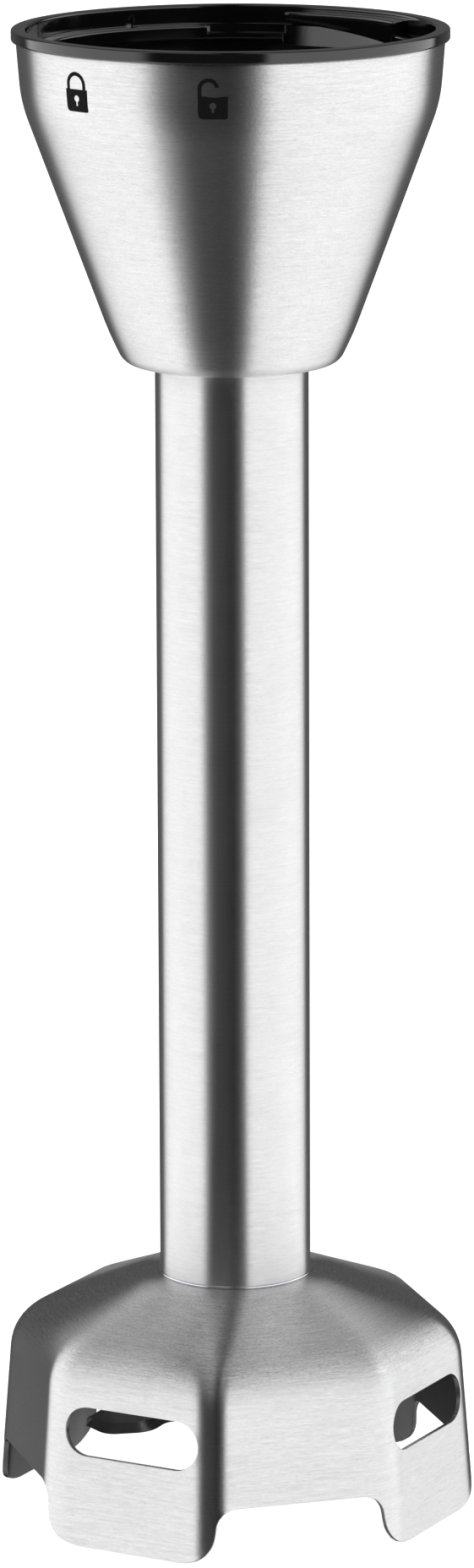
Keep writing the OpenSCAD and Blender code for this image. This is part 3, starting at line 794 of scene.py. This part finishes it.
def filled(loop, holes, spots):
    """A flat mesh inside the loop and outside the holes, with these spots as its inner points."""
    points, ties = [], []
    for ring in [loop, *holes]:
        ties += [(len(points) + k, len(points) + (k + 1) % len(ring)) for k in range(len(ring))]
        points += ring
    flat, _, triangles, *_ = delaunay_2d_cdt(points + spots, ties, [], INSIDE_ONLY, SAME_POINT)
    bm = bmesh.new()
    corners = [bm.verts.new(p.to_3d()) for p in flat]
    for triangle in triangles:
        middle = sum((flat[k] for k in triangle), Vector((0, 0))) / 3
        if not any(inside(middle, hole) for hole in holes):
            bm.faces.new([corners[k] for k in triangle])
    return bm


print("a hole takes", len(slot_loop), "ties")

# %% Guard blank
blank_low = cut_edge[0].y
rows = round((profile_length - blank_low) / GRID)
levels = [blank_low + (profile_length - blank_low) * k / rows for k in range(rows + 1)]
across = [face_width / columns * k for k in range(columns * FACES + 1)]
seam_right = [Vector((across[-1], y)) for y in levels[1:]]
top_edge = [Vector((x, levels[-1])) for x in reversed(across[:-1])]
seam_left = [Vector((0, y)) for y in reversed(levels[1:-1])]
outer_loop = cut_edge + seam_right + top_edge + seam_left

near = KDTree(len(outer_loop) + sum(len(s) for s in slots))
for k, p in enumerate(p for loop in [outer_loop, *slots] for p in loop):
    near.insert(p.to_3d(), k)
near.balance()

feet_levels = [GRID * k for k in range(1, int(levels[0] / GRID))]
fill = []
for y in feet_levels + levels[:-1]:
    for x in across:
        spot = Vector((x, y))
        if near.find(spot.to_3d())[2] < GRID * 0.5:
            continue
        if y <= levels[0] and not inside(spot, outer_loop):
            continue
        if abs(y - SLOT_Z) < SLOT_H and any(inside(spot, s) for s in slots):
            continue
        fill.append(spot)

bm = filled(outer_loop, slots, fill)
bmesh.ops.delete(bm, geom=[v for v in bm.verts if not v.link_faces], context="VERTS")
bmesh.ops.join_triangles(bm, faces=bm.faces, angle_face_threshold=math.pi, angle_shape_threshold=0.6)
for face in bm.faces:
    if face.normal.z < 0:
        face.normal_flip()
blank = new_mesh("guard", bm)
print("blank", len(blank.polygons), "faces")

# %% [markdown]
# The wrapping tree reads the outline as a curve: a point's y is its length along that curve,
# which gives the half-width and the height there. The octagon's corners are rounded by a radius
# that grows towards the neck, until the octagon is a circle. What is left is to walk the point's
# share of a face along the flat and round the corner, and to turn it to its own face.

# %% Guard wrapping tree
def curve_object(name, line):
    """A poly curve in the XZ plane."""
    curve = bpy.data.curves.new(name, "CURVE")
    curve.dimensions = "3D"
    spline = curve.splines.new("POLY")
    spline.points.add(len(line) - 1)
    for point, p in zip(spline.points, line):
        point.co = (p.x, 0, p.y, 1)
    return bpy.data.objects.new(name, curve)


def new_tree(name, inputs):
    """A Geometry Nodes tree with named inputs. Returns it, its net, its input wires and sockets."""
    tree = bpy.data.node_groups.new(name, "GeometryNodeTree")
    kept = {}
    for label, kind in inputs.items():
        kept[label] = tree.interface.new_socket(label, in_out="INPUT", socket_type=kind)
    tree.interface.new_socket("Geometry", in_out="OUTPUT", socket_type="NodeSocketGeometry")
    net = Net(tree)
    first = net.add("NodeGroupInput", {})
    return tree, net, {label: first.other(label) for label in inputs}, kept


def applied(mesh, tree, kept, values):
    """The plain mesh that the tree makes of this mesh."""
    workpiece = on_the_bench(mesh)
    modifier = workpiece.modifiers.new("tree", "NODES")
    modifier.node_group = tree
    for label, value in values.items():
        modifier[kept[label].identifier] = value
    return off_the_bench(workpiece)


def end_tree(net, geometry, material):
    """Makes copies into real mesh, gives it the material and hands it out."""
    plain = net.add("GeometryNodeRealizeInstances", {"Geometry": geometry})
    coated = net.add("GeometryNodeSetMaterial", {"Geometry": plain, "Material": material})
    net.add("NodeGroupOutput", {"Geometry": coated})


tree, net, given, kept = new_tree("wrap on an octagon", {
    "Geometry": "NodeSocketGeometry", "Outline": "NodeSocketObject", "Face width": "NodeSocketFloat",
    "Shoulder": "NodeSocketFloat", "Neck": "NodeSocketFloat", "Corner radius": "NodeSocketFloat",
    "Material": "NodeSocketMaterial"})
flat_x, flat_y, _ = net.split(net.add("GeometryNodeInputPosition", {}))
flat_uv = net.add("ShaderNodeCombineXYZ", {"X": flat_x, "Y": flat_y})
marked = net.add("GeometryNodeStoreNamedAttribute", {"Geometry": given["Geometry"], "Name": "UVMap",
                                                     "Value": flat_uv},
                 data_type="FLOAT2", domain="CORNER")
outline = net.add("GeometryNodeObjectInfo", {"Object": given["Outline"]}).other("Geometry")
place = net.add("GeometryNodeSampleCurve", {"Curves": outline, "Length": flat_y},
                mode="LENGTH", data_type="FLOAT").other("Position")
wide, _, high = net.split(place)
narrowing = (given["Shoulder"] - wide) / (given["Shoulder"] - given["Neck"])
narrowing = net.math("MINIMUM", net.math("MAXIMUM", narrowing, 0.0), 1.0)
radius = given["Corner radius"] + (wide - given["Corner radius"]) * net.math("POWER", narrowing, NECK_POWER)
flat_half = (wide - radius) * math.tan(PART_TURN)
share = flat_x / given["Face width"]
face = net.math("FLOOR", share + 0.5)
walked = net.math("ABSOLUTE", share - face) * 2 * (flat_half + radius * PART_TURN)
swing = net.math("MAXIMUM", walked - flat_half, 0.0) / radius
outward = wide - radius + radius * net.math("COSINE", swing)
sideways = net.math("MINIMUM", walked, flat_half) + radius * net.math("SINE", swing)
sideways = sideways * net.math("SIGN", share - face)
local = net.add("ShaderNodeCombineXYZ", {"X": outward, "Y": sideways, "Z": high})
facing = (face + 1) * (2 * PART_TURN)
wrapped = net.add("ShaderNodeVectorRotate", {"Vector": local, "Angle": facing}, rotation_type="Z_AXIS")
bent = net.add("GeometryNodeSetPosition", {"Geometry": marked, "Position": wrapped})
joined = net.add("GeometryNodeMergeByDistance", {"Geometry": bent, "Distance": 0.01 * MM})
end_tree(net, joined, given["Material"])
print("tree", tree.name, len(tree.nodes), "nodes")

# %% Guard
CUT_EDGE = 0.14 * MM
BEVEL_FROM = math.radians(50)


def bevelled(width, **more):
    """A bevel of the sharp edges only."""
    return "BEVEL", {"width": width, "segments": 2, "limit_method": "ANGLE",
                     "angle_limit": BEVEL_FROM, **more}


values = {"Outline": curve_object("guard_outline", guard_profile), "Face width": face_width,
          "Shoulder": shoulder_a, "Neck": neck_a, "Corner radius": CORNER_R, "Material": guard_finish}
thickened = ("SOLIDIFY", {"thickness": SHEET, "offset": -1.0, "use_even_offset": True})
wrapped_blank = applied(blank, tree, kept, values)
guard_mesh = finished(wrapped_blank, thickened, bevelled(CUT_EDGE, harden_normals=True))
for v in guard_mesh.vertices:
    v.co.z = max(v.co.z, guard_low.z)
stands_for("guard", guard_mesh, "housing", "brushed_steel", guard_finish, "bell_guard")

# %% [markdown]
# ## The bayonet collar
# The collar is moulded in glossy black plastic. Its body is a solid of revolution: a flange over
# the cup's edge, a register wall, a ledge, and a floor. The entry slots, the lug paths under the
# locking blocks and the stop notches are cut from it, and are set out in degrees round the axis.
# A moulding has no sharp edge anywhere, and on black gloss it is the rounded edges that catch
# the light, so the cut body gets a Bevel.

# %% Collar body
MOULD_ARC_STEP = math.radians(15)
MOULD_GAP = 0.2 * MM
COLLAR_WALL = 2.2 * MM
REGISTER_WALL = 0.8 * MM
REGISTER_H = 3.1 * MM
LEDGE_IN = 2.7 * MM
LEDGE_H = 2.2 * MM
LEDGE_CHAMFER = 0.8 * MM
UNDERCUT = 0.2 * MM
COLLAR_DEPTH = 24.2 * MM
RIM_ROUND = 0.35 * MM
FLOOR_ROUND = 2 * MM
LEDGE_ROOT = 0.15 * MM
LEDGE_LIP = 0.25 * MM
COUPLING_HOLE_R = 8.2 * MM

collar_low, collar_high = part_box("bayonet_collar")
top_z, rim_r = collar_high.z, collar_high.y
ledge_z = top_z - REGISTER_H
floor_z = top_z - COLLAR_DEPTH
cup_gap = CUP_SHEET + MOULD_GAP
register_r = cup_r - cup_gap - REGISTER_WALL
ledge_r = register_r - LEDGE_IN
slope = (bend[0] - knee[0]) / (bend[1] - knee[1])


def cone_radius(z, inset):
    """Radius of the cup's cone at a height, measured this far inside its outer face."""
    return knee[0] + (z - knee[1]) * slope - inset * math.hypot(1, slope)


out_bend = shifted(cup_line, cup_gap)[3]
in_bend = shifted(cup_line, cup_gap + COLLAR_WALL)[3]
collar_line = [(COUPLING_HOLE_R, collar_low.z), (cone_radius(collar_low.z, cup_gap), collar_low.z), out_bend,
               (cup_r - cup_gap, cup_high.z), (rim_r, cup_high.z), (rim_r, top_z), (register_r, top_z),
               (register_r, ledge_z), (ledge_r, ledge_z), (ledge_r, ledge_z - LEDGE_H),
               (in_bend.x + UNDERCUT, ledge_z - LEDGE_H - LEDGE_CHAMFER), in_bend,
               (cone_radius(floor_z, cup_gap + COLLAR_WALL), floor_z), (COUPLING_HOLE_R, floor_z)]
collar_radii = [0, 0, BEND_R, 0, RIM_ROUND, RIM_ROUND, RIM_ROUND, LEDGE_ROOT, RIM_ROUND, LEDGE_LIP, 0,
                BEND_R / 2, FLOOR_ROUND, 0]
collar_outline = divided(rounded(collar_line, collar_radii, MOULD_ARC_STEP), most=5 * MM, hold=HOLD)
collar_body = turned("collar", collar_outline)
print("collar body", len(collar_body.polygons), "faces")

# %% Collar cuts
ENTRY_DIR = -66.4
PLACES = 2
SLOT_TURN = 24
BLOCK_TURN = 44
BLOCK_START = 0.5
SLOT_DEEP = 1.3 * MM
SLOT_STEP = 0.1 * MM
LUG_ROOM = 0.9 * MM
NOTCH_FROM = 22
NOTCH_TURN = 2
NOTCH_DEEP = 0.4 * MM
BLOCK_LOW = 0.8 * MM
OVER = 1 * MM
MOULD_EDGE = 0.18 * MM
SHARP = math.radians(35)


def sector(bm, r_in, r_out, low, high, start, swing):
    """A closed piece of a ring between two headings, in degrees."""
    count = max(2, round(swing / 2))
    rows = []
    for k in range(count + 1):
        a = math.radians(start + swing * k / count)
        rows.append([bm.verts.new((r * math.cos(a), r * math.sin(a), z))
                     for r, z in ((r_in, low), (r_out, low), (r_out, high), (r_in, high))])
    carried(bm, rows)


def cut_with(mesh, bm, name, *modifiers):
    """The mesh less the cutters in bm, then finished by the modifiers."""
    bmesh.ops.recalc_face_normals(bm, faces=bm.faces)
    cutter = bpy.data.objects.new(name, new_mesh(name, bm))
    scene.collection.objects.link(cutter)
    cutting = ("BOOLEAN", {"operation": "DIFFERENCE", "solver": "EXACT", "use_self": True,
                           "object": cutter})
    result = finished(mesh, cutting, *modifiers)
    bpy.data.objects.remove(cutter)
    return result


block_top = top_z - BLOCK_LOW
bm = bmesh.new()
for place in range(PLACES):
    start = ENTRY_DIR + 360 * place / PLACES - SLOT_TURN / 2
    sector(bm, ledge_r - OVER, register_r - SLOT_STEP, ledge_z - SLOT_DEEP, ledge_z + OVER,
           start, SLOT_TURN)
    sector(bm, ledge_r - OVER, ledge_r + LUG_ROOM, ledge_z - LEDGE_H - OVER, ledge_z + OVER,
           start - BLOCK_TURN, BLOCK_TURN + BLOCK_START)
    sector(bm, register_r - OVER, register_r + NOTCH_DEEP, ledge_z - NOTCH_DEEP, block_top,
           start + SLOT_TURN + NOTCH_FROM, NOTCH_TURN)
collar_mesh = cut_with(collar_body, bm, "collar_cutters", bevelled(MOULD_EDGE))
collar_mesh.set_sharp_from_angle(angle=SHARP)
black_gloss = finishes["black_plastic"]
stands_for("collar", collar_mesh, "housing", "black_plastic", black_gloss, "bayonet_collar")

# %% [markdown]
# Each locking block is flat on top and its underside falls as a helix, which is what pulls the
# motor handle down as it turns. It is a rounded section carried along the wall, whose height
# grows from one end to the other.

# %% Locking blocks
BLOCK_H = 1.5 * MM
BLOCK_DROP = 2.6 * MM
BLOCK_PROUD = 0.3 * MM
BLOCK_ROUND = 0.35 * MM
BLOCK_STEPS = 24

r_in, r_out = ledge_r - BLOCK_PROUD, register_r + BLOCK_PROUD
bm = bmesh.new()
for place in range(PLACES):
    start = ENTRY_DIR + 360 * place / PLACES - SLOT_TURN / 2 - BLOCK_START
    rows = []
    for k in range(BLOCK_STEPS + 1):
        a = math.radians(start - BLOCK_TURN * k / BLOCK_STEPS)
        under = block_top - BLOCK_H - BLOCK_DROP * k / BLOCK_STEPS
        section = [(r_out, under), (r_out, block_top), (r_in, block_top), (r_in, under), (r_out, under)]
        section = rounded(section, [0, 0, BLOCK_ROUND, BLOCK_ROUND, 0], MOULD_ARC_STEP)[:-1]
        rows.append([bm.verts.new((p.x * math.cos(a), p.x * math.sin(a), p.y)) for p in section])
    carried(bm, rows)
bmesh.ops.recalc_face_normals(bm, faces=bm.faces)
block_mesh = finished(new_mesh("lock_blocks", bm), bevelled(MOULD_EDGE))
block_mesh.set_sharp_from_angle(angle=SHARP)
stands_for("lock_blocks", block_mesh, "housing", "black_plastic", black_gloss)

# %% [markdown]
# ## The blade
# The blade is stamped from hardened strip, pitched, and ground along its cutting side. Each wing
# is drawn flat as a lower outline and an upper one. The upper one lies a little inside the lower,
# and much further inside along the cutting side, which leaves the ground slope between them.

# %% Blade
BLADE_T = 1.2 * MM
BLADE_PITCH = math.radians(7)
BLADE_HUB_R = 7.5 * MM
WING_R = 25.2 * MM
WING_DIR = 208.3
WING_ROOT = 5.5 * MM
GRIND = 1.7 * MM
GRIND_FROM = 0.4
STAMP_EDGE = 0.2 * MM
SHAFT_R = 3 * MM
HUB_TURNS = 96

blade_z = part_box("blade_washer")[1].z
wing_line = [(WING_ROOT, -6.1 * MM), (0.77 * WING_R, -5.2 * MM), (WING_R, 3.6 * MM),
             (0.86 * WING_R, 7.6 * MM), (0.56 * WING_R, 6.6 * MM), (0.42 * WING_R, 1 * MM),
             (0.25 * WING_R, 4.1 * MM), (WING_ROOT, 4.5 * MM)]
wing_radii = [0, 3 * MM, 0.6 * MM, 3.5 * MM, 5 * MM, 3 * MM, 0.5 * MM, 0]
lower = divided(rounded(wing_line, wing_radii), most=1 * MM)
upper = []
for k, p in enumerate(lower):
    along = (lower[min(k + 1, len(lower) - 1)] - lower[max(k - 1, 0)]).normalized()
    inward = Vector((-along.y, along.x))
    cutting = max(0.0, -inward.y) if p.x > GRIND_FROM * WING_R else 0.0
    upper.append(p + inward * (STAMP_EDGE + (GRIND - STAMP_EDGE) * min(1.0, 1.5 * cutting)))

bm = bmesh.new()
for turn_by in (WING_DIR, WING_DIR + 180):
    stand = (Matrix.Translation((0, 0, blade_z)) @ Matrix.Rotation(math.radians(turn_by), 4, "Z")
             @ Matrix.Rotation(-BLADE_PITCH, 4, "X"))
    low_ring = [bm.verts.new(stand @ p.to_3d()) for p in lower]
    high_ring = [bm.verts.new(stand @ Vector((p.x, p.y, BLADE_T))) for p in upper]
    for k in range(len(lower)):
        m = (k + 1) % len(lower)
        bm.faces.new((low_ring[k], low_ring[m], high_ring[m], high_ring[k]))
    bm.faces.new(low_ring[::-1])
    bm.faces.new(high_ring)
hub_line = [(SHAFT_R, blade_z), (BLADE_HUB_R, blade_z), (BLADE_HUB_R, blade_z + BLADE_T),
            (SHAFT_R, blade_z + BLADE_T), (SHAFT_R, blade_z)]
hub_mesh = turned("hub", rounded(hub_line, [0, STAMP_EDGE, STAMP_EDGE, 0, 0])[:-1], HUB_TURNS)
bm.from_mesh(hub_mesh)
bmesh.ops.recalc_face_normals(bm, faces=bm.faces)
blade_mesh = new_mesh("blade_ground", bm)
blade_mesh.set_sharp_from_angle(angle=math.radians(25))
stands_for("blade_ground", blade_mesh, "rotor", "blade_steel", finishes["blade_steel"], "blade")

# %% [markdown]
# ## The collar's screws
# Three screws hold the collar down on the hub. They are one screw three times over, so the
# screw is made once and a Geometry Nodes tree sets a copy on each point of a circle. The screw
# itself is turned, and its cross recess is cut with a Boolean modifier.

# %% One screw
SCREW_R = 1.5 * MM
SCREW_LENGTH = 12 * MM
HEAD_R = 2.8 * MM
HEAD_H = 1.8 * MM
HEAD_ROUND = 0.6 * MM
HEAD_EDGE = 0.15 * MM
RECESS_W = 0.8 * MM
RECESS_LENGTH = 3.4 * MM
RECESS_DEEP = 1.0 * MM
SCREW_TURNS = 48
TIP_ROUND = 0.4 * MM
ALMOST_AXIS = 0.001 * MM

screw_line = [(ALMOST_AXIS, -SCREW_LENGTH), (SCREW_R, -SCREW_LENGTH), (SCREW_R, 0), (HEAD_R, 0),
              (HEAD_R, HEAD_H), (ALMOST_AXIS, HEAD_H)]
screw_outline = rounded(screw_line, [0, TIP_ROUND, 0, HEAD_EDGE, HEAD_ROUND, 0])
bm = bmesh.new()
for size in ((RECESS_LENGTH, RECESS_W), (RECESS_W, RECESS_LENGTH)):
    spot = Matrix.Translation((0, 0, HEAD_H)) @ Matrix.Diagonal((*size, 2 * RECESS_DEEP, 1))
    bmesh.ops.create_cube(bm, size=1.0, matrix=spot)
screw_mesh = cut_with(turned("screw", screw_outline, SCREW_TURNS), bm, "recess")
screw_mesh.set_sharp_from_angle(angle=SHARP)
screw = bpy.data.objects.new("screw", screw_mesh)
print("screw", len(screw_mesh.polygons), "faces")

# %% Screws on their circle
screws_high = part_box("collar_screws")[1]
screw_pcr = screws_high.y - HEAD_R
tree, net, given, kept = new_tree("set on a circle", {
    "Geometry": "NodeSocketGeometry", "Piece": "NodeSocketObject", "Count": "NodeSocketInt",
    "Circle radius": "NodeSocketFloat", "Height": "NodeSocketFloat", "Material": "NodeSocketMaterial"})
places = net.add("GeometryNodeMeshCircle", {"Vertices": given["Count"], "Radius": given["Circle radius"]})
lift = net.add("ShaderNodeCombineXYZ", {"Z": given["Height"]})
placed = net.add("GeometryNodeTransform", {"Geometry": places, "Translation": lift,
                                           "Rotation": (0, 0, math.pi / 2)})
piece = net.add("GeometryNodeObjectInfo", {"Object": given["Piece"]}).other("Geometry")
copies = net.add("GeometryNodeInstanceOnPoints", {"Points": placed, "Instance": piece})
end_tree(net, copies, given["Material"])
settings = {"Piece": screw, "Count": 3, "Circle radius": screw_pcr, "Height": screws_high.z - HEAD_H,
            "Material": finishes["plated_steel"]}
screw_set = applied(bpy.data.meshes.new("start"), tree, kept, settings)
bpy.data.objects.remove(screw)
stands_for("screws", screw_set, "housing", "plated_steel", finishes["plated_steel"], "collar_screws")

# %% [markdown]
# ## The lock marks
# Two small padlocks are printed on the cup in black ink: a closed one over the locked place and
# an open one over the entry slot. Ink is a very thin layer, so each mark is a flat drawing, in
# metres across and up, that is filled with an even grid and then laid on the cup's outline. The
# grid keeps the layer close to the curved sheet.

# %% Padlock drawings
LOCK_W = 4.8 * MM
LOCK_H = 3.6 * MM
LOCK_ROUND_LEFT = 0.7 * MM
LOCK_ROUND_RIGHT = 0.35 * MM
BAR = 0.62 * MM
HASP_R = 2.08 * MM
HASP_RISE = 0.7 * MM
OPEN_R = 1.72 * MM
OPEN_RISE = 1.17 * MM
OPEN_END = 10
KEY_R = 0.55 * MM
KEY_Z = 2.1 * MM
KEY_FOOT = 0.95 * MM
KEY_HALF = 0.18 * MM
MARK_GRID = 0.3 * MM


lock_side = LOCK_W / 2
lock_body = [(-lock_side, LOCK_H), (-lock_side, 0), (lock_side, 0), (lock_side, LOCK_H)]
lock_body = rounded(lock_body, [0, LOCK_ROUND_LEFT, LOCK_ROUND_RIGHT, 0])
hasp_z = LOCK_H + HASP_RISE
hasp_in = HASP_R - BAR
closed_loop = lock_body + [Vector((HASP_R, LOCK_H))] + arc(0, hasp_z, HASP_R, 0, 180)
closed_loop += [Vector((-HASP_R, LOCK_H))]
hasp_hole = arc(0, hasp_z, hasp_in, 0, 180) + [Vector((-hasp_in, LOCK_H)), Vector((hasp_in, LOCK_H))]
open_x = OPEN_R - lock_side
open_z = LOCK_H + OPEN_RISE
open_loop = lock_body[1:] + [Vector((BAR - lock_side, LOCK_H))]
open_loop += arc(open_x, open_z, OPEN_R - BAR, 180, OPEN_END)
open_loop += arc(open_x, open_z, OPEN_R, OPEN_END, 180)
key_hole = arc(0, KEY_Z, KEY_R, -68, 248) + [Vector((-KEY_HALF, KEY_FOOT)), Vector((KEY_HALF, KEY_FOOT))]
print("mark", round(LOCK_W / MM, 2), "by", round((hasp_z + HASP_R) / MM, 2), "mm")

# %% Laying the marks on the cup
INK_SINK = 0.02 * MM
INK_STAND = 0.03 * MM
MARK_DROP = 10.6 * MM
LOCKED_DIR = -107.2
MARKS = {"lock_mark_closed": (LOCKED_DIR, closed_loop, [hasp_hole, key_hole]),
         "lock_mark_open": (ENTRY_DIR, open_loop, [key_hole])}

mark_foot_z = top_z - MARK_DROP
grid_columns = math.ceil(lock_side / MARK_GRID) + 1
grid_rows = math.ceil((hasp_z + HASP_R) / MARK_GRID)


def cup_radius(z):
    """Radius of the cup's outer face at this height."""
    for a, b in zip(outer, outer[1:]):
        if a.y <= z <= b.y and b.y > a.y:
            return a.x + (b.x - a.x) * (z - a.y) / (b.y - a.y)
    return cup_r


def laid_on_cup(bm, heading):
    """Gives the flat drawing its thickness and lays it on the cup, facing out at this heading."""
    drawn = bm.faces[:]
    top = bmesh.ops.extrude_face_region(bm, geom=drawn, use_keep_orig=True)
    raised = {v for v in top["geom"] if isinstance(v, bmesh.types.BMVert)}
    for v in bm.verts:
        z = mark_foot_z + v.co.y
        around = heading + v.co.x / cup_r
        r = cup_radius(z) + (INK_STAND if v in raised else -INK_SINK)
        v.co = (r * math.cos(around), r * math.sin(around), z)
    bmesh.ops.recalc_face_normals(bm, faces=bm.faces)


ink = black_ink("lock_mark_ink")
for name, (heading, loop, holes) in MARKS.items():
    spots = [Vector((x * MARK_GRID, y * MARK_GRID))
             for x in range(-grid_columns, grid_columns + 1) for y in range(grid_rows)]
    spots = [p for p in spots if inside(p, loop) and not any(inside(p, hole) for hole in holes)]
    bm = filled(loop, holes, spots)
    laid_on_cup(bm, math.radians(heading))
    mark = new_mesh(name, bm)
    mark.shade_flat()
    stands_for(name, mark, "housing", "black_plastic", ink)
